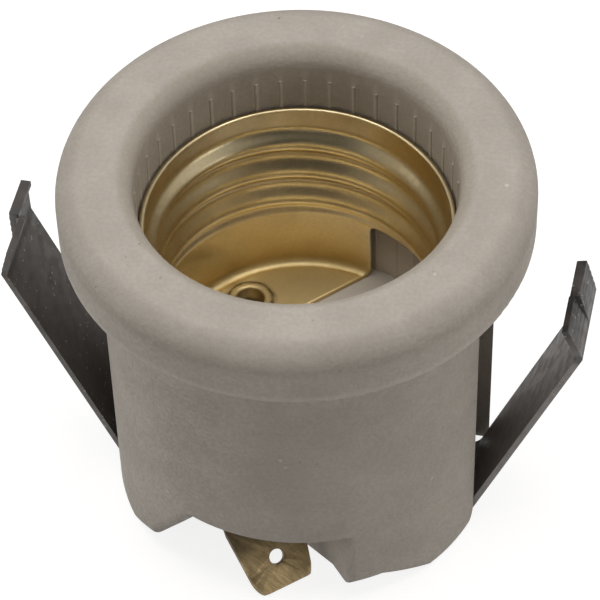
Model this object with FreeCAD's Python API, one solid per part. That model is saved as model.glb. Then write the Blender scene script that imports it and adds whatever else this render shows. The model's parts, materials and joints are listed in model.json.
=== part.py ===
import FreeCAD, Part
import math
import os

# Snap-in porcelain lamp holder with a medium screw shell, in millimetres.
# The origin is the centre of the flange's underside, which bears on the panel.
# Z points out of the mouth, and X runs from one spring clip to the other.
# The porcelain, its terminals and its eyelets are mirrored front to back, and the two clips
# are mirror images that were bent by hand to slightly different angles.

# Porcelain flange and body: the walls round the bore, and how far the flange overhangs
BODY_WALL = 3.45
FLANGE_OVERHANG = 3.2
FLANGE_H = 6.2
FLANGE_OUTER_ROUND = 2.3
FLANGE_LOWER_ROUND = 0.5
LIP_DISH = 0.12
BODY_DEPTH = 33.9
NECK_ROUND = 0.6
FOOT_ROUND = 0.9

# Ribbed mouth, with the shell's clearance in it, and floor
SHELL_CLEAR = 0.25
MOUTH_ROUND = 2.0
RIBS = 40
RIB_H = 0.12
RIB_HALF_ANGLE = 0.7
RIB_TOP = 2.7
FLOOR_DEPTH = 20.9
FLOOR_T = 2.9

# Skirt between the feet, which stops short of them
SKIRT_RISE = 2.6
SKIRT_EDGE_IN = 3.85
SKIRT_STEP_RUN = 3.6

# Brass sheet of the shell and its rolled thread
SHELL_T = 0.4
SHELL_TOP = -0.5
SHELL_COLLAR_R = 13.35
COLLAR_FLARE = 0.05
NECK_IN = 0.3
THREAD_DEPTH = 1.05
THREAD_PITCH = 25.4 / 7
THREAD_TOP = -2.0
THREAD_FADE = 1.6
THREAD_BOTTOM = -14.0
THREAD_START_AZ = 102.0
THREAD_START_Z = -4.25
THREAD_GRID_Z = 32
THREAD_GRID_AZ = 24

# Wall sector and base tongue of the shell
TONGUE_AZ = 135.0
TONGUE_HALF_ANGLE = 62.5
TONGUE_CHORD = 6.0
SHELL_BEND_R = 1.2
WINDOW_CORNER_R = 0.8

# Eyelets, which are hollow rivets
EYELET_X = -6.4
EYELET_Y = 6.8
EYELET_HOLE_R = 1.3
EYELET_WALL = 0.35
EYELET_HEAD_OVER = 0.55
EYELET_HEAD_H = 0.45
EYELET_CLEAR = 0.06

# Folded solder tabs
TAB_AZ = -48.0
TERMINAL_T = 0.4
TERMINAL_FOOT_R = 2.5
TERMINAL_HALF = 3.8
TERMINAL_SHIFT = 0.2
TERMINAL_REACH = 4.45
TAB_SLOPE = 53.0
TAB_BEND_R = 0.8
TAB_TIP_HALF = 2.8
TAB_LEFT_ROUND = 1.6
TAB_RIGHT_ROUND = 0.8
TAB_LENGTH = 11.9
TAB_TAPER = 7.0
TAB_HOLE_R = 0.72
TAB_HOLE_UP = 3.1
POCKET_CLEAR = 0.4
POCKET_SIDE_CLEAR = 0.3

# Slanting left side of each pocket
RAMP_FOOT = 0.815
RAMP_LEAN = 33.5

# Spring clips
CLIP_T = 0.55
CLIP_HALF = 4.1
CLIP_TAIL_HALF = 2.5
CLIP_BEND_R = 2.0
CLIP_PIVOT_IN = 0.71
CLIP_PIVOT_UP = 2.33
CLIP_ARM = 25.47
CLIP_TAIL_ANGLE = -176.0
CLIP_NARROW_ANGLE = -80.0
CLIP_RIDGES = 4
CLIP_RIDGE_H = 0.05
CLIP_LIP = 0.35
CLIP_EAR = 3.7
RIGHT_LEAN = 20.9
RIGHT_EARS = (-23.0, -16.0)
LEFT_LEAN = 21.9
LEFT_EARS = (-15.0, 1.0)
NOSE_CLEAR = 0.15
SLOT_CLEAR = 0.2
TAIL_END_CLEAR = 0.6
GROOVE_WALL = 1.4
GROOVE_SIDE_CLEAR = 0.3
GROOVE_FLARE = 2.3

# Centre contact
LEAF_T = 0.4
LEAF_FOOT_R = 3.0
LEAF_HALF = 2.4
LEAF_END_R = 2.4
LEAF_FOOT_REACH = 3.4
LEAF_RISE = 2.9
LEAF_SLOPE = 40.0
LEAF_BEND_R = 0.8
BUTTON_HEAD_R = 1.7
BUTTON_HEAD_H = 0.9
BUTTON_SHANK_R = 0.8
BUTTON_SHANK_CLEAR = 0.06
BUTTON_PEEN_R = 1.2
BUTTON_PEEN_H = 0.4

# How far a cut runs past what it cuts, and how close two edges' places count as the same
PAST = 1.0
SAME_PLACE = 0.01

# Places and radii worked out from the sizes above, from the shell's collar inward and outward
THREAD_VALLEY_R = SHELL_COLLAR_R - COLLAR_FLARE
THREAD_CREST_R = THREAD_VALLEY_R - THREAD_DEPTH
SHELL_NECK_R = THREAD_VALLEY_R - NECK_IN
BORE_R = SHELL_COLLAR_R + SHELL_T + SHELL_CLEAR
BODY_R = BORE_R + BODY_WALL
FLANGE_R = BODY_R + FLANGE_OVERHANG
GROOVE_FLOOR_X = BORE_R + GROOVE_WALL
FOOT_Z = -BODY_DEPTH
SKIRT_DEPTH = BODY_DEPTH - SKIRT_RISE
SKIRT_EDGE_Y = BODY_R - SKIRT_EDGE_IN
CLIP_PIVOT_X = GROOVE_FLOOR_X - CLIP_PIVOT_IN
CLIP_PIVOT_Z = FOOT_Z + CLIP_PIVOT_UP
POCKET_HALF = TERMINAL_HALF + TERMINAL_SHIFT + POCKET_SIDE_CLEAR
FLOOR_Z = -FLOOR_DEPTH
CEILING_Z = FLOOR_Z - FLOOR_T
BELOW = FOOT_Z - PAST
OUTSIDE = FLANGE_R + 5 * PAST
EYELET_OUTER_R = EYELET_HOLE_R + EYELET_WALL
EYELET_HEAD_R = EYELET_OUTER_R + EYELET_HEAD_OVER
EYELET_CLEAR_R = EYELET_OUTER_R + EYELET_CLEAR
NOSE_R = CLIP_BEND_R - CLIP_T / 2 - NOSE_CLEAR
SLOT_R = CLIP_BEND_R + CLIP_T / 2 + SLOT_CLEAR
GROOVE_HALF = CLIP_HALF + GROOVE_SIDE_CLEAR
TAIL_SLOT_HALF = CLIP_TAIL_HALF + GROOVE_SIDE_CLEAR

V = FreeCAD.Vector
UP = V(0, 0, 1)


def polar(radius, degrees, z=0.0):
    a = math.radians(degrees)
    return V(radius * math.cos(a), radius * math.sin(a), z)


def line(p, q):
    return Part.LineSegment(p, q).toShape()


def arc(p, through, q):
    return Part.Arc(p, through, q).toShape()


def upright(centre_x, centre_z, radius, degrees):
    """A point of a circle that stands in the XZ plane."""
    a = math.radians(degrees)
    return V(centre_x + radius * math.cos(a), 0, centre_z + radius * math.sin(a))


def box(x, y, z):
    return Part.makeBox(x[1] - x[0], y[1] - y[0], z[1] - z[0], V(x[0], y[0], z[0]))


def prism(points, along):
    """The prism on a closed flat outline of straight edges."""
    return Part.Face(Part.makePolygon(points + [points[0]])).extrude(along)


def rod(radius, z_low, z_high, x=0.0, y=0.0):
    return Part.makeCylinder(radius, z_high - z_low, V(x, y, z_low), UP)


def cross_rod(radius, half):
    """A rod along Y round the clip's pivot."""
    return Part.makeCylinder(radius, 2 * half, V(CLIP_PIVOT_X, -half, CLIP_PIVOT_Z), V(0, 1, 0))


def turned(shape, degrees):
    copy = shape.copy()
    copy.rotate(V(0, 0, 0), UP, degrees)
    return copy


def front_to_back(shape):
    return shape.mirror(V(0, 0, 0), V(0, 1, 0))


def left_to_right(shape):
    return shape.mirror(V(0, 0, 0), V(1, 0, 0))


def quarter(centre_x, centre_z, radius, start):
    """A quarter arc in the XZ plane, from the start angle on by 90 degrees."""
    points = [upright(centre_x, centre_z, radius, start + turn) for turn in (0, 45, 90)]
    return arc(*points)


def body_blank():
    """The revolved body with its flange, lip and a bore that narrows to the ribs."""
    rise = FLANGE_H - FLANGE_OUTER_ROUND
    rib_r = BORE_R - RIB_H
    lip_outer = V(FLANGE_R - FLANGE_OUTER_ROUND, 0, FLANGE_H)
    lip_inner = V(BORE_R + MOUTH_ROUND, 0, FLANGE_H)
    lip_low = V((lip_outer.x + lip_inner.x) / 2, 0, FLANGE_H - LIP_DISH)
    neck_mid = upright(BODY_R + NECK_ROUND, -NECK_ROUND, NECK_ROUND, 135)
    mouth_mid = upright(BORE_R + MOUTH_ROUND, FLANGE_H - MOUTH_ROUND, MOUTH_ROUND, 135)
    edges = [
        line(V(0, 0, FOOT_Z), V(BODY_R, 0, FOOT_Z)),
        line(V(BODY_R, 0, FOOT_Z), V(BODY_R, 0, -NECK_ROUND)),
        arc(V(BODY_R, 0, -NECK_ROUND), neck_mid, V(BODY_R + NECK_ROUND, 0, 0)),
        line(V(BODY_R + NECK_ROUND, 0, 0), V(FLANGE_R - FLANGE_LOWER_ROUND, 0, 0)),
        quarter(FLANGE_R - FLANGE_LOWER_ROUND, FLANGE_LOWER_ROUND, FLANGE_LOWER_ROUND, -90),
        line(V(FLANGE_R, 0, FLANGE_LOWER_ROUND), V(FLANGE_R, 0, rise)),
        quarter(FLANGE_R - FLANGE_OUTER_ROUND, rise, FLANGE_OUTER_ROUND, 0),
        arc(lip_outer, lip_low, lip_inner),
        arc(lip_inner, mouth_mid, V(BORE_R, 0, FLANGE_H - MOUTH_ROUND)),
        line(V(BORE_R, 0, FLANGE_H - MOUTH_ROUND), V(BORE_R, 0, RIB_TOP)),
        line(V(BORE_R, 0, RIB_TOP), V(rib_r, 0, RIB_TOP - RIB_H)),
        line(V(rib_r, 0, RIB_TOP - RIB_H), V(rib_r, 0, FLOOR_Z)),
        line(V(rib_r, 0, FLOOR_Z), V(0, 0, FLOOR_Z)),
        line(V(0, 0, FLOOR_Z), V(0, 0, FOOT_Z)),
    ]
    return Part.Face(Part.Wire(edges)).revolve(V(0, 0, 0), UP, 360)


def ribbed_bore():
    """The bore as one prism: round, with fine upright ribs left standing in its wall."""
    step = 360.0 / RIBS
    edges = []
    for i in range(RIBS):
        rib = i * step
        start = polar(BORE_R, rib - RIB_HALF_ANGLE, FLOOR_Z)
        crest = polar(BORE_R - RIB_H, rib, FLOOR_Z)
        end = polar(BORE_R, rib + RIB_HALF_ANGLE, FLOOR_Z)
        wall = polar(BORE_R, rib + step / 2, FLOOR_Z)
        next_start = polar(BORE_R, rib + step - RIB_HALF_ANGLE, FLOOR_Z)
        edges.append(arc(start, crest, end))
        edges.append(arc(end, wall, next_start))
    return Part.Face(Part.Wire(edges)).extrude(V(0, 0, RIB_TOP - FLOOR_Z))


def clip_seat():
    """What the right clip's groove, nose and tail slot take out of the body."""
    wide = (-GROOVE_HALF, GROOVE_HALF)
    narrow = (-TAIL_SLOT_HALF, TAIL_SLOT_HALF)
    groove = box((GROOVE_FLOOR_X, OUTSIDE), wide, (BELOW, 0.0))
    under_nose = box((CLIP_PIVOT_X, OUTSIDE), wide, (BELOW, CLIP_PIVOT_Z))
    slot_left = CLIP_PIVOT_X - SLOT_R
    slot = box((slot_left, CLIP_PIVOT_X), narrow, (BELOW, CLIP_PIVOT_Z + TAIL_END_CLEAR))
    ring = cross_rod(SLOT_R, TAIL_SLOT_HALF).common(slot)
    mouth = box((CLIP_PIVOT_X - SLOT_R / 2, CLIP_PIVOT_X), narrow, (BELOW, CLIP_PIVOT_Z))
    cut = groove.fuse([under_nose, ring, mouth])
    behind = box((0, GROOVE_FLOOR_X), (-OUTSIDE, OUTSIDE), (BELOW, 0))
    cut = cut.cut(cross_rod(NOSE_R, OUTSIDE).common(behind))
    return cut.fuse([groove_flare(), front_to_back(groove_flare())])


def groove_flare():
    """The rounding where one side of the groove runs out at the foot."""
    y = GROOVE_HALF + GROOVE_FLARE
    z = FOOT_Z + GROOVE_FLARE
    corner = box((CLIP_PIVOT_X, OUTSIDE), (GROOVE_HALF, y), (BELOW, z))
    return corner.cut(Part.makeCylinder(GROOVE_FLARE, OUTSIDE, V(0, y, z), V(1, 0, 0)))


def eyelet_along():
    """The front eyelet's distance along the tab's direction, and across it."""
    turn = math.radians(-TAB_AZ)
    x = EYELET_X * math.cos(turn) + EYELET_Y * math.sin(turn)
    y = EYELET_X * math.sin(turn) - EYELET_Y * math.cos(turn)
    return x, y


def terminal_pocket():
    """What the front terminal's pocket takes out of the underside."""
    along, across = eyelet_along()
    height = (BELOW, CEILING_Z)
    round_end = rod(TERMINAL_FOOT_R + POCKET_CLEAR, BELOW, CEILING_Z, along, across)
    channel = box((along, OUTSIDE), (across - POCKET_HALF, across + POCKET_HALF), height)
    slope = math.tan(math.radians(RAMP_LEAN))
    outline = [
        V(RAMP_FOOT + slope * (CEILING_Z - FOOT_Z), -OUTSIDE, CEILING_Z),
        V(OUTSIDE, -OUTSIDE, CEILING_Z),
        V(OUTSIDE, -OUTSIDE, BELOW),
        V(RAMP_FOOT + slope * (BELOW - FOOT_Z), -OUTSIDE, BELOW),
    ]
    ramp = prism(outline, V(0, OUTSIDE + across, 0))
    return turned(round_end.fuse([channel, ramp]), TAB_AZ)


def skirt_step():
    """What is cut off the front skirt, which ends above the feet, with a slope between."""
    slope = SKIRT_STEP_RUN / SKIRT_RISE
    inner = -SKIRT_EDGE_Y - slope * (SKIRT_DEPTH + BELOW)
    outline = [
        V(-OUTSIDE, -SKIRT_EDGE_Y, -SKIRT_DEPTH),
        V(-OUTSIDE, -OUTSIDE, -SKIRT_DEPTH),
        V(-OUTSIDE, -OUTSIDE, BELOW),
        V(-OUTSIDE, inner, BELOW),
    ]
    return prism(outline, V(2 * OUTSIDE, 0, 0))


def is_low_outside(edge):
    """True for the edges round the feet, on the body's outside below the pockets' ceiling."""
    ends = [v.Point for v in edge.Vertexes]
    middle = edge.valueAt((edge.FirstParameter + edge.LastParameter) / 2)
    off = max(abs(math.hypot(p.x, p.y) - BODY_R) for p in ends + [middle])
    return len(ends) == 2 and off < SAME_PLACE and middle.z < CEILING_Z - SAME_PLACE


def porcelain_body():
    """The body with its pockets and skirts, its low outer edges rounded, then the clips' seats."""
    pocket = terminal_pocket()
    step = skirt_step()
    seat = clip_seat()
    eyelet_hole = rod(EYELET_CLEAR_R, BELOW, 0, EYELET_X, EYELET_Y)
    body = body_blank().cut([ribbed_bore(), pocket, front_to_back(pocket), step, front_to_back(step)])
    body = round_corners(body.removeSplitter(), FOOT_ROUND, is_low_outside)
    body = body.cut([seat, turned(seat, 180), eyelet_hole, front_to_back(eyelet_hole)])
    return body.removeSplitter()


def smooth(t):
    t = min(1.0, max(0.0, t))
    return t * t * (3 - 2 * t)


def thread_radius(degrees, z):
    """The shell's inner radius: a right-hand wave that fades into a collar and a plain neck."""
    turns = (z - THREAD_START_Z) / THREAD_PITCH - (degrees - THREAD_START_AZ) / 360.0
    wave = (1 + math.cos(2 * math.pi * turns)) / 2
    top = smooth((THREAD_TOP - z) / THREAD_FADE)
    bottom = smooth((z - THREAD_BOTTOM) / THREAD_FADE)
    base = SHELL_NECK_R + (THREAD_VALLEY_R - SHELL_NECK_R) * bottom
    base += (SHELL_COLLAR_R - THREAD_VALLEY_R) * (1 - top)
    return base - (THREAD_VALLEY_R - THREAD_CREST_R) * wave * top * bottom


def thread_face(offset):
    """One side of the rolled sheet, as a smooth face through a grid of places on it."""
    rows = []
    for i in range(THREAD_GRID_Z):
        z = SHELL_TOP + (THREAD_BOTTOM - SHELL_TOP) * i / (THREAD_GRID_Z - 1)
        row = []
        for j in range(THREAD_GRID_AZ + 1):
            degrees = 360.0 * j / THREAD_GRID_AZ
            row.append(polar(thread_radius(degrees, z) + offset, degrees, z))
        rows.append(row)
    surface = Part.BSplineSurface()
    surface.interpolate(rows)
    return surface.toShape()


def thread_plug(offset):
    """The solid inside one side of the rolled sheet, closed by a disc at each end."""
    side = thread_face(offset)
    rims = [edge for edge in side.Edges if edge.isClosed()]
    discs = [Part.Face(Part.Wire([rim])) for rim in rims]
    skin = Part.makeShell([side] + discs)
    skin.sewShape()
    plug = Part.makeSolid(skin)
    if plug.Volume < 0:
        plug.reverse()
    return plug


def threaded_sleeve():
    return thread_plug(SHELL_T).cut(thread_plug(0.0))


def shell_foot():
    """The wall sector that goes down from the thread and bends in to the base tongue."""
    play = SHELL_T / 8
    r_in = SHELL_NECK_R + play
    r_out = SHELL_NECK_R + SHELL_T - play
    z_top = THREAD_BOTTOM + SHELL_T
    z_low = FLOOR_Z
    z_high = FLOOR_Z + SHELL_T
    bend_x = r_out - SHELL_BEND_R
    bend_z = z_low + SHELL_BEND_R
    inner_r = SHELL_BEND_R - (r_out - r_in)
    inner_low = bend_z - inner_r
    inner_mid = upright(bend_x, bend_z, inner_r, -45)
    leg = bend_x - SHELL_BEND_R
    edges = [
        line(V(leg, 0, z_low), V(bend_x, 0, z_low)),
        quarter(bend_x, bend_z, SHELL_BEND_R, -90),
        line(V(r_out, 0, bend_z), V(r_out, 0, z_top)),
        line(V(r_out, 0, z_top), V(r_in, 0, z_top)),
        line(V(r_in, 0, z_top), V(r_in, 0, bend_z)),
        arc(V(r_in, 0, bend_z), inner_mid, V(bend_x, 0, inner_low)),
        line(V(bend_x, 0, inner_low), V(leg, 0, inner_low)),
        line(V(leg, 0, inner_low), V(leg, 0, z_low)),
    ]
    wall = Part.Face(Part.Wire(edges)).revolve(V(0, 0, 0), UP, 2 * TONGUE_HALF_ANGLE)
    wall = turned(wall, -TONGUE_HALF_ANGLE)
    disc = rod(bend_x, z_low, z_high)
    beyond = box((TONGUE_CHORD, OUTSIDE), (-OUTSIDE, OUTSIDE), (BELOW, 0))
    foot = wall.fuse(disc).common(beyond)
    corners = [window_corner(r_in, r_out, z_top, side) for side in (1, -1)]
    return turned(foot.fuse(corners), TONGUE_AZ)


def window_corner(r_in, r_out, z_top, side):
    """The rounded inner corner where the foot's upright edge meets the thread."""
    width = math.degrees(WINDOW_CORNER_R / r_in)
    first = TONGUE_HALF_ANGLE - width
    last = TONGUE_HALF_ANGLE + width
    low = THREAD_BOTTOM - WINDOW_CORNER_R
    ring = rod(r_out, low, z_top).cut(rod(r_in, low, z_top))
    wedge = [V(0, 0, low), polar(OUTSIDE, first, low), polar(OUTSIDE, last, low)]
    ring = ring.common(prism(wedge, V(0, 0, z_top - low)))
    ring = ring.cut(Part.makeCylinder(WINDOW_CORNER_R, OUTSIDE, V(0, 0, low), polar(1, last)))
    return ring if side > 0 else front_to_back(ring)


def screw_shell():
    hole = rod(EYELET_CLEAR_R, BELOW, FLOOR_Z + PAST, EYELET_X, EYELET_Y)
    return threaded_sleeve().fuse(shell_foot()).cut(hole)


def eyelet(x, y, z_low, z_high):
    """A hollow rivet that clamps from z_low to z_high, with a rolled head at each end."""
    shoulder = EYELET_HEAD_R - EYELET_HEAD_H / 2
    edges = []
    top_in = V(EYELET_HOLE_R, 0, z_high + EYELET_HEAD_H / 2)
    low_in = V(EYELET_HOLE_R, 0, z_low - EYELET_HEAD_H / 2)
    top_start = V(EYELET_HOLE_R + EYELET_HEAD_H / 2, 0, z_high + EYELET_HEAD_H)
    low_start = V(EYELET_HOLE_R + EYELET_HEAD_H / 2, 0, z_low - EYELET_HEAD_H)
    top_mid = upright(top_start.x, top_in.z, EYELET_HEAD_H / 2, 135)
    low_mid = upright(low_start.x, low_in.z, EYELET_HEAD_H / 2, 225)
    edges.append(line(low_in, top_in))
    edges.append(arc(top_in, top_mid, top_start))
    edges.append(line(top_start, V(shoulder, 0, top_start.z)))
    edges.append(arc(V(shoulder, 0, top_start.z), V(EYELET_HEAD_R, 0, top_in.z), V(shoulder, 0, z_high)))
    edges.append(line(V(shoulder, 0, z_high), V(EYELET_OUTER_R, 0, z_high)))
    edges.append(line(V(EYELET_OUTER_R, 0, z_high), V(EYELET_OUTER_R, 0, z_low)))
    edges.append(line(V(EYELET_OUTER_R, 0, z_low), V(shoulder, 0, z_low)))
    edges.append(arc(V(shoulder, 0, z_low), V(EYELET_HEAD_R, 0, low_in.z), V(shoulder, 0, low_start.z)))
    edges.append(line(V(shoulder, 0, low_start.z), low_start))
    edges.append(arc(low_start, low_mid, low_in))
    rivet = Part.Face(Part.Wire(edges)).revolve(V(0, 0, 0), UP, 360)
    rivet.translate(V(x, y, 0))
    return rivet


def bent_sheet(path, thickness, bend_r, y_low, y_high):
    """A sheet bent along a path of points in the XZ plane, its centre line on the path.

    Each inner point gets a bend with the given inside radius.
    """
    sides = []
    for side in (thickness / 2, -thickness / 2):
        sides.append(rounded_line(path, side, bend_r + thickness / 2))
    upper, lower = sides
    ends = [line(upper[-1][-1], lower[-1][-1]), line(lower[0][0], upper[0][0])]
    edges = [draw(piece) for piece in upper] + [draw(piece) for piece in lower] + ends
    face = Part.Face(Part.Wire(Part.sortEdges(edges)[0]))
    sheet = face.extrude(V(0, y_high - y_low, 0))
    sheet.translate(V(0, y_low, 0))
    return sheet


def draw(points):
    return line(*points) if len(points) == 2 else arc(*points)


def rounded_line(path, side, mid_r):
    """Lines and arcs that run beside a path: each bend keeps its centre on both sides."""
    pieces = []
    start = path[0] + left_of(path[0], path[1]) * side
    for before, corner, after in zip(path, path[1:], path[2:]):
        into = (corner - before).normalize()
        out = (after - corner).normalize()
        bend = math.atan2(into.x * out.z - into.z * out.x, into.dot(out))
        trim = mid_r * math.tan(abs(bend) / 2)
        sign = math.copysign(1, bend)
        centre = corner - into * trim + left_of(before, corner) * mid_r * sign
        radius = mid_r - side * sign
        first = centre - left_of(before, corner) * radius * sign
        last = centre - left_of(corner, after) * radius * sign
        middle = centre + ((first + last) * 0.5 - centre).normalize() * radius
        pieces.append([start, first])
        pieces.append([first, middle, last])
        start = last
    pieces.append([start, path[-1] + left_of(path[-2], path[-1]) * side])
    return pieces


def left_of(p, q):
    """The unit vector to the left of the way from p to q, in the XZ plane seen from the front."""
    way = (q - p).normalize()
    return V(-way.z, 0, way.x)


def plan_outline(points, z_low, z_high):
    """An upright prism on an outline drawn from above."""
    return prism([V(x, y, z_low) for x, y in points], V(0, 0, z_high - z_low))


def round_corners(shape, radius, chosen):
    edges = [e for e in shape.Edges if chosen(e)]
    return shape.makeFillet(radius, edges)


def terminal():
    """The front solder tab: a foot under the floor, folded down and out on a slant."""
    along, across = eyelet_along()
    slope = math.radians(TAB_SLOPE)
    z_mid = CEILING_Z - TERMINAL_T / 2
    fold = V(along + TERMINAL_REACH, 0, z_mid)
    tip = fold + V(TAB_LENGTH * math.cos(slope), 0, -TAB_LENGTH * math.sin(slope))
    taper_x = tip.x - TAB_TAPER * math.cos(slope)
    start = V(along - TERMINAL_FOOT_R, 0, z_mid)
    right = TERMINAL_SHIFT + TERMINAL_HALF
    left_tip = TERMINAL_SHIFT - TAB_TIP_HALF
    right_tip = TERMINAL_SHIFT + TAB_TIP_HALF
    sheet = bent_sheet([start, fold, tip], TERMINAL_T, TAB_BEND_R, right - 2 * TERMINAL_HALF, right)
    blade = [
        (along, -TERMINAL_FOOT_R),
        (fold.x - TAB_BEND_R, right - 2 * TERMINAL_HALF),
        (taper_x, right - 2 * TERMINAL_HALF),
        (tip.x, left_tip),
        (tip.x, right_tip),
        (taper_x, right),
        (fold.x - TAB_BEND_R, right),
        (along, TERMINAL_FOOT_R),
    ]
    outline = plan_outline(blade, BELOW, FLOOR_Z)
    outline = round_corners(outline, TAB_LEFT_ROUND, lambda e: is_upright_at(e, tip.x, left_tip))
    outline = round_corners(outline, TAB_RIGHT_ROUND, lambda e: is_upright_at(e, tip.x, right_tip))
    outline = outline.fuse(rod(TERMINAL_FOOT_R, BELOW, FLOOR_Z, along, 0))
    tab = sheet.common(outline)
    up_blade = V(-math.cos(slope), 0, math.sin(slope))
    hole_at = tip + up_blade * TAB_HOLE_UP + V(0, TERMINAL_SHIFT, 0)
    through = V(math.sin(slope), 0, math.cos(slope)) * TERMINAL_T
    tab = tab.cut(Part.makeCylinder(TAB_HOLE_R, 2 * TERMINAL_T, hole_at - through, through))
    tab = tab.cut(rod(EYELET_CLEAR_R, BELOW, FLOOR_Z, along, 0))
    tab.translate(V(0, across, 0))
    return turned(tab, TAB_AZ)


def is_upright_at(edge, x, y):
    limits = edge.BoundBox
    off = max(abs(limits.XMin - x), abs(limits.XMax - x), abs(limits.YMin - y), abs(limits.YMax - y))
    return off < SAME_PLACE


def clip(arm_lean, ear_leans):
    """The right clip: a narrow hooked tail, a bend round the nose, the arm, and two ridged ears."""
    lean = math.radians(arm_lean)
    foot = upright(CLIP_PIVOT_X, CLIP_PIVOT_Z, CLIP_BEND_R, -arm_lean)
    crease = foot + V(math.sin(lean), 0, math.cos(lean)) * CLIP_ARM
    arm = strip(foot, crease, CLIP_HALF)
    bend = hook(-arm_lean, CLIP_NARROW_ANGLE, CLIP_HALF)
    tail = hook(CLIP_NARROW_ANGLE, CLIP_TAIL_ANGLE, CLIP_TAIL_HALF)
    knuckle = Part.makeCylinder(CLIP_T / 2, 2 * CLIP_HALF, V(crease.x, -CLIP_HALF, crease.z), V(0, 1, 0))
    near = ear(crease, ear_leans[0], -CLIP_HALF, 0.0)
    far = ear(crease, ear_leans[1], 0.0, CLIP_LIP)
    return arm.fuse([bend, tail, knuckle, near, far]).removeSplitter()


def strip(p, q, half):
    """A straight stretch of the strip between two points of its centre line."""
    side = left_of(p, q) * (CLIP_T / 2)
    corners = [p + side, q + side, q - side, p - side]
    sheet = prism(corners, V(0, 2 * half, 0))
    sheet.translate(V(0, -half, 0))
    return sheet


def hook(start, end, half):
    """A stretch of the strip bent round the pivot, from one angle to another."""
    loops = []
    for radius in (CLIP_BEND_R + CLIP_T / 2, CLIP_BEND_R - CLIP_T / 2):
        turns = (start, (start + end) / 2, end)
        loops.append([upright(CLIP_PIVOT_X, CLIP_PIVOT_Z, radius, turn) for turn in turns])
    outer, inner = loops
    edges = [arc(*outer), line(outer[2], inner[2]), arc(*inner), line(inner[0], outer[0])]
    face = Part.Face(Part.Wire(Part.sortEdges(edges)[0]))
    sheet = face.extrude(V(0, 2 * half, 0))
    sheet.translate(V(0, -half, 0))
    return sheet


def ear(crease, lean, y_low, lip):
    """Half of the flap above the crease, with pressed ridges across it and a lip along its edge."""
    turn = math.radians(lean)
    way = V(math.sin(turn), 0, math.cos(turn))
    side = V(-way.z, 0, way.x)
    plain = CLIP_EAR / (2 * CLIP_RIDGES + 2)
    top = crease + way * CLIP_EAR
    inner = [crease + side * (CLIP_T / 2)]
    outer = [crease - side * (CLIP_T / 2)]
    for i in range(2 * CLIP_RIDGES + 1):
        wave = CLIP_RIDGE_H * (i % 2)
        middle = crease + way * (plain * (i + 1)) - side * wave
        outer.append(middle - side * (CLIP_T / 2))
    outer.append(top - side * (CLIP_T / 2))
    inner.append(top + side * (CLIP_T / 2) - way * CLIP_T)
    inner.append(top + side * (CLIP_T / 2 + lip) - way * CLIP_T)
    inner.append(top + side * (CLIP_T / 2 + lip))
    plate = prism(inner + outer[::-1], V(0, CLIP_HALF, 0))
    plate.translate(V(0, y_low, 0))
    return plate


def contact_leaf():
    """The centre contact's leaf: a round foot under the eyelet, a bend, a rise and a level end."""
    reach = math.hypot(EYELET_X, EYELET_Y)
    slope = math.radians(LEAF_SLOPE)
    z_mid = FLOOR_Z + LEAF_T / 2
    run = LEAF_RISE / math.tan(slope)
    path = [
        V(-reach - LEAF_FOOT_R, 0, z_mid),
        V(-reach + LEAF_FOOT_REACH, 0, z_mid),
        V(-reach + LEAF_FOOT_REACH + run, 0, z_mid + LEAF_RISE),
        V(LEAF_END_R, 0, z_mid + LEAF_RISE),
    ]
    sheet = bent_sheet(path, LEAF_T, LEAF_BEND_R, -LEAF_FOOT_R, LEAF_FOOT_R)
    blade = box((-reach, 0), (-LEAF_HALF, LEAF_HALF), (BELOW, SHELL_TOP))
    foot = rod(LEAF_FOOT_R, BELOW, SHELL_TOP, -reach, 0)
    end = rod(LEAF_END_R, BELOW, SHELL_TOP)
    leaf = sheet.common(blade.fuse([foot, end]))
    leaf = leaf.cut(rod(BUTTON_SHANK_R + BUTTON_SHANK_CLEAR, FLOOR_Z, SHELL_TOP))
    leaf = leaf.cut(rod(EYELET_CLEAR_R, BELOW, SHELL_TOP, -reach, 0))
    return turned(leaf, math.degrees(math.atan2(EYELET_Y, -EYELET_X)))


def contact_button():
    """The riveted contact on the leaf's end: a domed head, a shank and a peened lower head."""
    top = FLOOR_Z + LEAF_RISE + LEAF_T
    low = top - LEAF_T
    rim = BUTTON_HEAD_H / 3
    dome = (BUTTON_HEAD_R ** 2 + (BUTTON_HEAD_H - rim) ** 2) / (2 * (BUTTON_HEAD_H - rim))
    tip = top + BUTTON_HEAD_H
    half_turn = math.degrees(math.asin(BUTTON_HEAD_R / dome)) / 2
    edges = [
        line(V(0, 0, low - BUTTON_PEEN_H), V(BUTTON_PEEN_R / 2, 0, low - BUTTON_PEEN_H)),
        line(V(BUTTON_PEEN_R / 2, 0, low - BUTTON_PEEN_H), V(BUTTON_PEEN_R, 0, low)),
        line(V(BUTTON_PEEN_R, 0, low), V(BUTTON_SHANK_R, 0, low)),
        line(V(BUTTON_SHANK_R, 0, low), V(BUTTON_SHANK_R, 0, top)),
        line(V(BUTTON_SHANK_R, 0, top), V(BUTTON_HEAD_R, 0, top)),
        line(V(BUTTON_HEAD_R, 0, top), V(BUTTON_HEAD_R, 0, top + rim)),
        arc(V(BUTTON_HEAD_R, 0, top + rim), upright(0, tip - dome, dome, 90 - half_turn), V(0, 0, tip)),
        line(V(0, 0, tip), V(0, 0, low - BUTTON_PEEN_H)),
    ]
    return Part.Face(Part.Wire(edges)).revolve(V(0, 0, 0), UP, 360)


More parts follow.
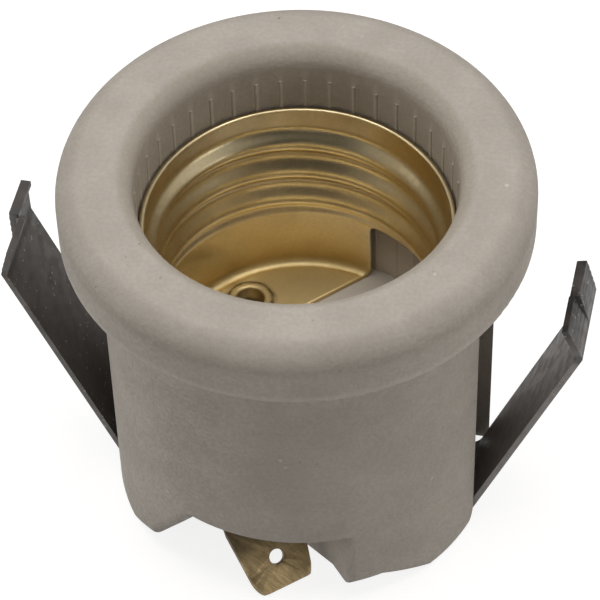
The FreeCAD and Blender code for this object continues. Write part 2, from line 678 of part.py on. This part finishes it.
def main():
    front_terminal = terminal()
    low = CEILING_Z - TERMINAL_T
    pieces = {
        "porcelain_body": porcelain_body(),
        "screw_shell": screw_shell(),
        "shell_eyelet": eyelet(EYELET_X, EYELET_Y, low, FLOOR_Z + SHELL_T),
        "contact_eyelet": eyelet(EYELET_X, -EYELET_Y, low, FLOOR_Z + LEAF_T),
        "contact_leaf": contact_leaf(),
        "contact_button": contact_button(),
        "contact_terminal": front_terminal,
        "shell_terminal": front_to_back(front_terminal),
        "right_clip": clip(RIGHT_LEAN, RIGHT_EARS),
        "left_clip": left_to_right(clip(LEFT_LEAN, LEFT_EARS)),
    }
    os.makedirs("parts", exist_ok=True)
    for name, shape in pieces.items():
        shape.exportStep(f"parts/{name}.step")
        kind = "valid" if shape.isValid() else "NOT VALID"
        print(f"{name}: {len(shape.Solids)} solid, {shape.Volume:.1f} mm3, {kind}")


main()
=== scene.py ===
import json
import math

import bpy
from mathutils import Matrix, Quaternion, Vector


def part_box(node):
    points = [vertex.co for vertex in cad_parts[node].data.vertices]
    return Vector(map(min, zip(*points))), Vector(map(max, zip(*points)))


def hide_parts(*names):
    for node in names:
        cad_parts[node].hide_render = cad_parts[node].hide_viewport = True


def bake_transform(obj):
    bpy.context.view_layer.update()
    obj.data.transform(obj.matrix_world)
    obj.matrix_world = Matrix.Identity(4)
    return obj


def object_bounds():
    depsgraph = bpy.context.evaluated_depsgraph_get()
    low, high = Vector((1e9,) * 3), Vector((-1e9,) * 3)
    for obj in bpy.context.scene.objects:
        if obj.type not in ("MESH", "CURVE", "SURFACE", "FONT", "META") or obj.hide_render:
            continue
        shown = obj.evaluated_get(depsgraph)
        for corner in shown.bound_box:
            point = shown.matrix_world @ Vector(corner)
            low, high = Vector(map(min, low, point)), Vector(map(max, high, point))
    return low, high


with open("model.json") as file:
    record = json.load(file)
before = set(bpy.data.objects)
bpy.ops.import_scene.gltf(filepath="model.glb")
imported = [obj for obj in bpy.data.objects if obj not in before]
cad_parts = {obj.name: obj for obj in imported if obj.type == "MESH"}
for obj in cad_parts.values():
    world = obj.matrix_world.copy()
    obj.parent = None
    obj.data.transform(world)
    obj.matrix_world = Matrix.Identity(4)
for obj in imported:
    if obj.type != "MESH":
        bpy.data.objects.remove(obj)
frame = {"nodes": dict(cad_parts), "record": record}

# Lamp holder in metres. The origin is the centre of the flange's underside, Z points out of the
# mouth, and the photograph looks down from the front, a little from the right.
CAD_LOW, CAD_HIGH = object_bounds()
NODES = frame["nodes"]
FOOT_Z = CAD_LOW.z
FLOOR_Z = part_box("contact_leaf")[0].z
EYELET_LOW, EYELET_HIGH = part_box("shell_eyelet")
EYELET = ((EYELET_LOW.x + EYELET_HIGH.x) / 2, (EYELET_LOW.y + EYELET_HIGH.y) / 2, EYELET_HIGH.z)

# The floor lies this little below the feet, so that no two faces share a place
FLOOR_GAP = 0.00001

# Where the studio is dark, as seen from the lamp holder: the way to its middle, the cosines from that
# way at which it begins and is darkest, and how brightly the studio and its darkest place glow
DARK_WAY = (0.18, -0.77, 0.61)
DARK_BEGINS = 0.5
DARK_FULL = 0.95
STUDIO_GLOW = 0.5
DARK_GLOW = 0.04

# A pair of values is where a paint begins to change and where it is done: heights, or distances from
# the mouth's axis. The flange's shoulder has painted shade, and its lower edge a pale painted highlight.
SHOULDER_Z = (0.0026, 0.0042)
SHOULDER_R = (0.0184, 0.0196)
FLANGE_EDGE_R = (0.0196, 0.0202)
FLANGE_EDGE_Z = 0.0003

# The mouth's wall, darkened as painted shade, its ribs with painted highlights and painted shade at their
# tops, and the floor below, painted lighter as painted light
MOUTH_R = (0.0149, 0.0156)
WALL_Z = (-0.004, -0.001)
RIBS = 40
RIB_TOP = 0.0026
RIB_PAINT_Z = (0.0024, 0.0044)
FLOOR_UPPER_Z = (FLOOR_Z + 0.001, FLOOR_Z + 0.006)
FLOOR_LOWER_Z = (FLOOR_Z - 0.001, FLOOR_Z - 0.0005)

# The shell is duller near the floor, and has a painted contact shadow at these distances from the eyelet's
# top
DULL_Z = (FLOOR_Z + 0.001, FLOOR_Z + 0.005)
EYELET_SHADOW_FROM = (0.0017, 0.0021)
EYELET_SHADOW_TO = (0.0022, 0.0028)

# How far the rolled brass's shading is averaged
SHEET_EVEN = 0.0004

# The folded tabs, with a painted shadow where the body shades them and darker round their holes, and their
# turn about Z
TAB_SHADOW_Z = (-0.0314, -0.0290)
TAB_RIM_R = 0.0012
TAB_TURN = math.radians(48)

# The clips' arms, a little worn and painted lighter, their crease with painted shade, and the flap above it
# with its ridges
ARM_TOP_Z = (-0.010, -0.006)
CREASE_Z = -0.0086
FLAP_Z = (CREASE_Z + 0.0006, CREASE_Z + 0.001)
RIDGE_STEP = 0.0007

# Soft edges on the metal pieces: their width, and the least angle of an edge that gets one
METAL_EDGE = 0.00007
SHARP = math.radians(35)

# Corners nearer than this are one corner
SAME_PLACE = 0.000001

# The camera that took the photograph
CAMERA_PLACE = (0.040722, -0.170933, 0.195704)
CAMERA_AIM = (0.0, 0.0, -0.01103)
CAMERA_ROLL = math.radians(-1.845)
LENS_MM = 182.377
SENSOR_MM = 36.0

# The floor's half width, and how brightly it shows by itself
FLOOR_HALF = 1.5
FLOOR_GLOW = 0.84


def rgb(red, green, blue):
    """A colour as the picture shows it, from 0 to 255, made linear."""
    parts = [c / 255 for c in (red, green, blue)]
    linear = [c / 12.92 if c <= 0.04045 else ((c + 0.055) / 1.055) ** 2.4 for c in parts]
    return (*linear, 1.0)


class Paint:
    """A material's node tree, and short ways to add nodes to it."""

    def __init__(self, name):
        self.material = bpy.data.materials.new(name)
        self.material.use_nodes = True
        self.tree = self.material.node_tree
        self.shader = next(n for n in self.tree.nodes if n.type == "BSDF_PRINCIPLED")
        self.place = self.add("ShaderNodeTexCoord").outputs["Object"]

    def add(self, kind, **settings):
        node = self.tree.nodes.new(kind)
        for key, value in settings.items():
            setattr(node, key, value)
        return node

    def join(self, source, target):
        self.tree.links.new(source, target)

    def along(self, axis):
        """The place's X, Y or Z, in metres."""
        xyz = self.add("ShaderNodeSeparateXYZ")
        self.join(self.place, xyz.inputs["Vector"])
        return xyz.outputs[axis]

    def radius(self):
        """The distance from the mouth's axis."""
        flat = self.add("ShaderNodeVectorMath", operation="MULTIPLY")
        flat.inputs[1].default_value = (1, 1, 0)
        self.join(self.place, flat.inputs[0])
        length = self.add("ShaderNodeVectorMath", operation="LENGTH")
        self.join(flat.outputs["Vector"], length.inputs[0])
        return length.outputs["Value"]

    def distance(self, point):
        node = self.add("ShaderNodeVectorMath", operation="DISTANCE")
        node.inputs[1].default_value = point
        self.join(self.place, node.inputs[0])
        return node.outputs["Value"]

    def stretched(self, x, y, z, turn=(0, 0, 0)):
        """The object's coordinates turned and scaled, so that a texture runs along one way."""
        node = self.add("ShaderNodeMapping")
        node.inputs["Rotation"].default_value = turn
        node.inputs["Scale"].default_value = (x, y, z)
        self.join(self.place, node.inputs["Vector"])
        return node.outputs["Vector"]

    def noise(self, scale, detail=2.0, roughness=0.5, vector=None):
        node = self.add("ShaderNodeTexNoise")
        node.inputs["Scale"].default_value = scale
        node.inputs["Detail"].default_value = detail
        node.inputs["Roughness"].default_value = roughness
        self.join(vector or self.place, node.inputs["Vector"])
        return node.outputs["Fac"]

    def cells(self, scale):
        node = self.add("ShaderNodeTexVoronoi")
        node.inputs["Scale"].default_value = scale
        self.join(self.place, node.inputs["Vector"])
        return node.outputs["Distance"]

    def steps(self, value, low, high, dark=0.0, light=1.0):
        """Value from low to high becomes dark to light, smoothly."""
        node = self.add("ShaderNodeMapRange", interpolation_type="SMOOTHSTEP")
        node.inputs["From Min"].default_value = low
        node.inputs["From Max"].default_value = high
        node.inputs["To Min"].default_value = dark
        node.inputs["To Max"].default_value = light
        self.join(value, node.inputs["Value"])
        return node.outputs["Result"]

    def maths(self, operation, first, second):
        node = self.add("ShaderNodeMath", operation=operation)
        for socket, value in zip(node.inputs, (first, second)):
            if isinstance(value, (int, float)):
                socket.default_value = value
            else:
                self.join(value, socket)
        return node.outputs[0]

    def times(self, first, *others):
        """The product of all the values."""
        for other in others:
            first = self.maths("MULTIPLY", first, other)
        return first

    def away(self, axis, level):
        """How far the place is from a level along X, Y or Z."""
        return self.maths("ABSOLUTE", self.maths("SUBTRACT", self.along(axis), level), 0)

    def off_middle(self, count):
        """How far a count of steps is from the middle of the step that it is in."""
        part = self.maths("FRACT", count, 0)
        return self.maths("ABSOLUTE", self.maths("SUBTRACT", part, 0.5), 0)

    def mixed(self, share, under, over):
        """Two colours, or a colour and what is painted already, mixed by a share."""
        node = self.add("ShaderNodeMix", data_type="RGBA")
        self.join(share, node.inputs["Factor"])
        for socket, value in ((node.inputs[6], under), (node.inputs[7], over)):
            if isinstance(value, tuple):
                socket.default_value = value
            else:
                self.join(value, socket)
        return node.outputs[2]

    def relief(self, height, depth, under=None):
        """Bumps of a depth in metres, on top of the bumps under them if there are any."""
        node = self.add("ShaderNodeBump")
        node.inputs["Strength"].default_value = 1.0
        node.inputs["Distance"].default_value = depth
        self.join(height, node.inputs["Height"])
        if under is not None:
            self.join(under, node.inputs["Normal"])
        return node.outputs["Normal"]

    def finish(self, colour, roughness, normal):
        self.join(colour, self.shader.inputs["Base Color"])
        self.join(roughness, self.shader.inputs["Roughness"])
        self.join(normal, self.shader.inputs["Normal"])
        return self.material


def porcelain():
    """Unglazed warm grey ceramic: cloudy, finely grained, with pale chips and dark pits, and painted shade,
    highlights and light on the flange and in the mouth.
    """
    p = Paint("porcelain")
    clouds = p.steps(p.noise(170, 3), 0.35, 0.68)
    grain = p.steps(p.noise(2600, 3, 0.65), 0.3, 0.7)
    colour = p.mixed(clouds, rgb(177, 169, 159), rgb(187, 179, 169))
    colour = p.mixed(p.times(grain, 0.3), colour, rgb(161, 152, 141))
    chips = p.steps(p.cells(420), 0.05, 0.11, 1.0, 0.0)
    rare = p.steps(p.noise(95, 1), 0.6, 0.66)
    colour = p.mixed(p.times(chips, rare), colour, rgb(206, 199, 190))
    pits = p.steps(p.cells(640), 0.04, 0.1, 1.0, 0.0)
    some = p.steps(p.noise(120, 1), 0.56, 0.64)
    colour = p.mixed(p.times(pits, some), colour, rgb(140, 128, 114))
    colour = on_the_flange(p, colour)
    colour = in_the_mouth(p, colour)
    skin = p.relief(p.noise(420, 3, 0.6), 0.00009)
    skin = p.relief(grain, 0.000022, skin)
    roughness = p.steps(grain, 0.0, 1.0, 0.62, 0.85)
    return p.finish(colour, roughness, skin)


def on_the_flange(p, colour):
    """Painted shade on the shoulder and a pale painted highlight along the lower edge."""
    # painted shade on the flange's rounded shoulder
    shoulder = p.times(p.steps(p.along("Z"), *SHOULDER_Z), p.steps(p.radius(), *SHOULDER_R), 0.3)
    colour = p.mixed(shoulder, colour, rgb(138, 129, 118))
    # a pale painted highlight along the flange's lower edge
    edge = p.steps(p.away("Z", FLANGE_EDGE_Z), 0.0002, 0.0009, 0.35, 0.0)
    lightened = p.times(edge, p.steps(p.radius(), *FLANGE_EDGE_R))
    return p.mixed(lightened, colour, rgb(208, 201, 191))


def in_the_mouth(p, colour):
    """Painted shade on the mouth's wall, painted highlights along its ribs with painted shade at their
    tops, and painted light on the floor.
    """
    inside = p.steps(p.radius(), *MOUTH_R, 1.0, 0.0)
    # painted light: the floor deep in the mouth painted lighter
    floor_painted_light = p.steps(p.along("Z"), *FLOOR_UPPER_Z, 0.8, 0.0)
    floor_painted_light = p.times(floor_painted_light, p.steps(p.along("Z"), *FLOOR_LOWER_Z), inside)
    colour = p.mixed(floor_painted_light, colour, rgb(212, 205, 194))
    wall = p.times(inside, p.steps(p.along("Z"), *WALL_Z))
    # painted shade on the mouth's wall
    colour = p.mixed(p.times(wall, 0.36), colour, rgb(150, 138, 120))
    turn = p.maths("ARCTAN2", p.along("Y"), p.along("X"))
    off_rib = p.off_middle(p.maths("ADD", p.times(turn, RIBS / math.tau), RIBS + 0.5))
    low = p.steps(p.along("Z"), *RIB_PAINT_Z, 1.0, 0.0)
    # painted highlights: pale lines along the ribs
    ribs = p.times(p.steps(off_rib, 0.02, 0.2, 1.0, 0.0), low, wall, 0.5)
    colour = p.mixed(ribs, colour, rgb(200, 192, 178))
    # painted shade at the ribs' tops
    rib_tops = p.times(p.steps(p.away("Z", RIB_TOP), 0.0001, 0.0002, 1.0, 0.0), wall)
    rib_top_shade = p.times(rib_tops, p.steps(off_rib, 0.03, 0.08, 0.3, 0.0))
    return p.mixed(rib_top_shade, colour, rgb(96, 86, 74))


def rounded_over(p, radius):
    """Shading averaged over a small radius, which evens out the facets of the rolled sheet."""
    node = p.add("ShaderNodeBevel", samples=8)
    node.inputs["Radius"].default_value = radius
    return node.outputs["Normal"]


def shell_brass():
    """Rolled brass sheet: bright and faintly tarnished, duller near the floor, with a painted contact
    shadow round the eyelet.
    """
    p = Paint("shell_brass")
    p.shader.inputs["Metallic"].default_value = 1.0
    tarnish = p.steps(p.noise(200, 3, 0.5), 0.36, 0.72)
    colour = p.mixed(tarnish, rgb(236, 219, 178), rgb(222, 203, 160))
    grains = p.steps(p.noise(3000, 1), 0.35, 0.65)
    colour = p.mixed(p.times(grains, 0.12), colour, rgb(180, 158, 114))
    dull = p.steps(p.along("Z"), *DULL_Z, 1.0, 0.0)
    colour = p.mixed(p.times(dull, 0.6), colour, rgb(222, 196, 134))
    # a mottled painted contact shadow round the eyelet's head
    apart = p.distance(EYELET)
    ring = p.times(p.steps(apart, *EYELET_SHADOW_FROM), p.steps(apart, *EYELET_SHADOW_TO, 1.0, 0.0))
    mottle = p.steps(p.noise(1100, 3, 0.6), 0.35, 0.65, 0.3, 0.9)
    colour = p.mixed(p.times(ring, mottle), colour, rgb(92, 74, 50))
    roughness = p.maths("ADD", p.times(dull, 0.2), p.steps(tarnish, 0.0, 1.0, 0.28, 0.34))
    sheet = p.relief(p.noise(700, 1), 0.0000004, rounded_over(p, SHEET_EVEN))
    return p.finish(colour, roughness, sheet)


def terminal_brass():
    """Dull brass strip, brushed along its length, darker and browner in patches."""
    p = Paint("terminal_brass")
    p.shader.inputs["Metallic"].default_value = 1.0
    brushed = p.noise(1.0, 3, 0.6, p.stretched(900, 7000, 900, (0, 0, TAB_TURN)))
    patches = p.steps(p.noise(380, 4, 0.6), 0.38, 0.7)
    colour = p.mixed(patches, rgb(162, 142, 104), rgb(122, 105, 77))
    colour = p.mixed(p.times(p.steps(brushed, 0.35, 0.7), 0.35), colour, rgb(104, 90, 67))
    # painted shadow on the tabs towards the body, and darker round their holes
    body_shadow_and_rim = p.steps(p.along("Z"), *TAB_SHADOW_Z, 0.0, 0.8)
    for mount in frame["record"]["mounts"]:
        if mount["kind"] == "bore":
            hole_r = mount["dims"]["r_mm"] / 1000
            rim = p.steps(p.distance(mount["pos_m"]), hole_r, TAB_RIM_R, 0.4, 0.0)
            body_shadow_and_rim = p.maths("MAXIMUM", body_shadow_and_rim, rim)
    colour = p.mixed(body_shadow_and_rim, colour, rgb(62, 53, 40))
    roughness = p.steps(brushed, 0.3, 0.7, 0.38, 0.55)
    return p.finish(colour, roughness, p.relief(brushed, 0.00001))


def flap_groove_shade(p):
    """Painted shade in the grooves between the ridges, on the outer side of the clips' flaps."""
    normal = p.add("ShaderNodeSeparateXYZ")
    p.join(p.place.node.outputs["Normal"], normal.inputs["Vector"])
    outer = p.steps(p.times(normal.outputs["X"], p.along("X")), 0.005, 0.015)
    off_groove = p.off_middle(p.times(p.along("Z"), 1 / RIDGE_STEP))
    # painted shade in the grooves between the ridges
    grooves = p.steps(off_groove, 0.08, 0.3, 1.0, 0.0)
    flap = p.steps(p.along("Z"), *FLAP_Z)
    return p.times(grooves, outer, flap, 0.6)


def spring_steel():
    """Blackened spring steel with pale specks and a little rust; both arms a little worn, and the right
    clip painted darker with its arm much lighter, as painted shade and light.
    """
    p = Paint("spring_steel")
    p.shader.inputs["Metallic"].default_value = 0.4
    cloud = p.steps(p.noise(420, 3), 0.35, 0.7)
    # painted shade: the right clip painted darker than the left one
    right = p.steps(p.along("X"), -0.01, 0.01)
    colour = p.mixed(right, rgb(80, 75, 72), rgb(50, 46, 44))
    colour = p.mixed(p.times(cloud, 0.4), colour, rgb(112, 106, 102))
    # the arms painted lighter: a little wear on both, and far more on the right one as painted light
    lightened = p.maths("ADD", p.times(right, 0.52), 0.12)
    lightened = p.times(lightened, p.steps(p.along("Z"), *ARM_TOP_Z, 1.0, 0.0))
    colour = p.mixed(lightened, colour, rgb(150, 144, 140))
    colour = p.mixed(flap_groove_shade(p), colour, rgb(30, 27, 26))
    # painted shade along the crease
    crease = p.steps(p.away("Z", CREASE_Z), 0.0003, 0.0008, 0.5, 0.0)
    colour = p.mixed(crease, colour, rgb(34, 31, 30))
    specks = p.steps(p.cells(1900), 0.14, 0.24, 1.0, 0.0)
    some = p.steps(p.noise(700, 2), 0.48, 0.6)
    colour = p.mixed(p.times(specks, some, 0.75), colour, rgb(176, 168, 160))
    rust = p.steps(p.cells(1300), 0.08, 0.15, 1.0, 0.0)
    few = p.steps(p.noise(500, 1), 0.5, 0.6)
    colour = p.mixed(p.times(rust, few, 0.7), colour, rgb(120, 80, 54))
    roughness = p.steps(p.noise(900, 3), 0.35, 0.7, 0.42, 0.58)
    return p.finish(colour, roughness, p.relief(p.noise(2600, 3, 0.6), 0.000012))


def pale_floor():
    """White to the camera and in the metal, a plain grey to the light, so that it keeps a shadow."""
    p = Paint("pale_floor")
    p.shader.inputs["Roughness"].default_value = 0.9
    p.shader.inputs["Specular IOR Level"].default_value = 0.0
    p.join(p.mixed(p.noise(20), rgb(150, 149, 147), rgb(154, 153, 151)), p.shader.inputs["Base Color"])
    path = p.add("ShaderNodeLightPath")
    seen = p.maths("MAXIMUM", path.outputs["Is Camera Ray"], path.outputs["Is Glossy Ray"])
    seen = p.maths("MAXIMUM", seen, path.outputs["Is Transmission Ray"])
    p.shader.inputs["Emission Color"].default_value = (1, 1, 1, 1)
    p.join(p.times(seen, FLOOR_GLOW), p.shader.inputs["Emission Strength"])
    return p.material


def bending_leaf():
    """The centre contact's leaf, copied out of its CAD node into a mesh of its own; the real leaf bends
    down with the button that a lamp presses.
    """
    node = NODES["contact_leaf"]
    mesh = node.data.copy()
    mesh.transform(node.matrix_world)
    leaf = bpy.data.objects.new("bending_leaf", mesh)
    bpy.context.scene.collection.objects.link(leaf)
    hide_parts("contact_leaf")
    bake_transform(leaf)


def soften(piece):
    """Takes the edge off the sharp corners of sheared metal."""
    weld = piece.modifiers.new("weld", "WELD")
    weld.merge_threshold = SAME_PLACE
    bevel = piece.modifiers.new("edge", "BEVEL")
    bevel.width = METAL_EDGE
    bevel.segments = 2
    bevel.limit_method = "ANGLE"
    bevel.angle_limit = SHARP
    even = piece.modifiers.new("even shading", "WEIGHTED_NORMAL")
    even.keep_sharp = False


def studio():
    """A bright room all round, with a dark stretch where the photographer stands."""
    world = bpy.data.worlds.new("studio")
    world.use_nodes = True
    bpy.context.scene.world = world
    tree = world.node_tree
    way = tree.nodes.new("ShaderNodeTexCoord").outputs["Generated"]
    toward = tree.nodes.new("ShaderNodeVectorMath")
    toward.operation = "DOT_PRODUCT"
    toward.inputs[1].default_value = DARK_WAY
    tree.links.new(way, toward.inputs[0])
    fade = tree.nodes.new("ShaderNodeMapRange")
    fade.interpolation_type = "SMOOTHSTEP"
    fade.inputs["From Min"].default_value = DARK_BEGINS
    fade.inputs["From Max"].default_value = DARK_FULL
    fade.inputs["To Min"].default_value = STUDIO_GLOW
    fade.inputs["To Max"].default_value = DARK_GLOW
    tree.links.new(toward.outputs["Value"], fade.inputs["Value"])
    back = tree.nodes["Background"]
    back.inputs["Color"].default_value = (1.0, 0.995, 0.985, 1)
    tree.links.new(fade.outputs["Result"], back.inputs["Strength"])


def lamps():
    """A wide soft light above, one on each side and a weak one in front."""
    lamp("overhead", (0.0, 0.0, 0.42), (0, 0, 0), (0.5, 0.26), 1.1)
    lamp("left", (-0.45, -0.15, 0.08), (0, 0, -0.015), (0.26, 0.26), 0.4)
    lamp("right", (0.45, -0.12, 0.08), (0, 0, -0.015), (0.26, 0.26), 0.4)
    lamp("front", (0.06, -0.5, 0.06), (0, 0, -0.02), (0.3, 0.3), 0.12)


def lamp(name, place, aim, size, power):
    """An oval soft box that faces the aim, size wide along X and size deep."""
    light = bpy.data.lights.new(name, "AREA")
    light.shape = "ELLIPSE"
    light.size, light.size_y = size
    light.energy = power
    light.color = (1.0, 0.99, 0.975)
    holder = bpy.data.objects.new(name, light)
    bpy.context.scene.collection.objects.link(holder)
    holder.location = place
    holder.rotation_mode = "QUATERNION"
    holder.rotation_quaternion = (Vector(aim) - Vector(place)).to_track_quat("-Z", "Y")


def floor():
    """The white ground under the feet."""
    ways = ((-1, -1), (1, -1), (1, 1), (-1, 1))
    corners = [(x * FLOOR_HALF, y * FLOOR_HALF, FOOT_Z - FLOOR_GAP) for x, y in ways]
    mesh = bpy.data.meshes.new("floor")
    mesh.from_pydata(corners, [], [(0, 1, 2, 3)])
    mesh.materials.append(pale_floor())
    ground = bpy.data.objects.new("floor", mesh)
    bpy.context.scene.collection.objects.link(ground)


def camera():
    """The photograph's own point of view."""
    data = bpy.data.cameras.new("camera")
    data.lens = LENS_MM
    data.sensor_width = SENSOR_MM
    data.clip_start = 0.01
    data.clip_end = 10.0
    cam = bpy.data.objects.new("camera", data)
    bpy.context.scene.collection.objects.link(cam)
    cam.location = CAMERA_PLACE
    cam.rotation_mode = "QUATERNION"
    aim = (Vector(CAMERA_AIM) - cam.location).to_track_quat("-Z", "Y")
    cam.rotation_quaternion = aim @ Quaternion((0, 0, 1), CAMERA_ROLL)
    bpy.context.scene.camera = cam


def dress():
    """Each CAD node takes the material of its slot, and the metal ones take soft edges."""
    paints = {
        "porcelain": porcelain(),
        "shell_brass": shell_brass(),
        "terminal_brass": terminal_brass(),
        "spring_steel": spring_steel(),
    }
    for part in frame["record"]["subparts"]:
        node = NODES[part["node"]]
        node.data.materials.clear()
        node.data.materials.append(paints[part["material_slot"]])
        if part["material_slot"] != "porcelain":
            soften(node)
    bending_leaf()


dress()
floor()
studio()
lamps()
camera()
bpy.context.scene.view_settings.view_transform = "Standard"
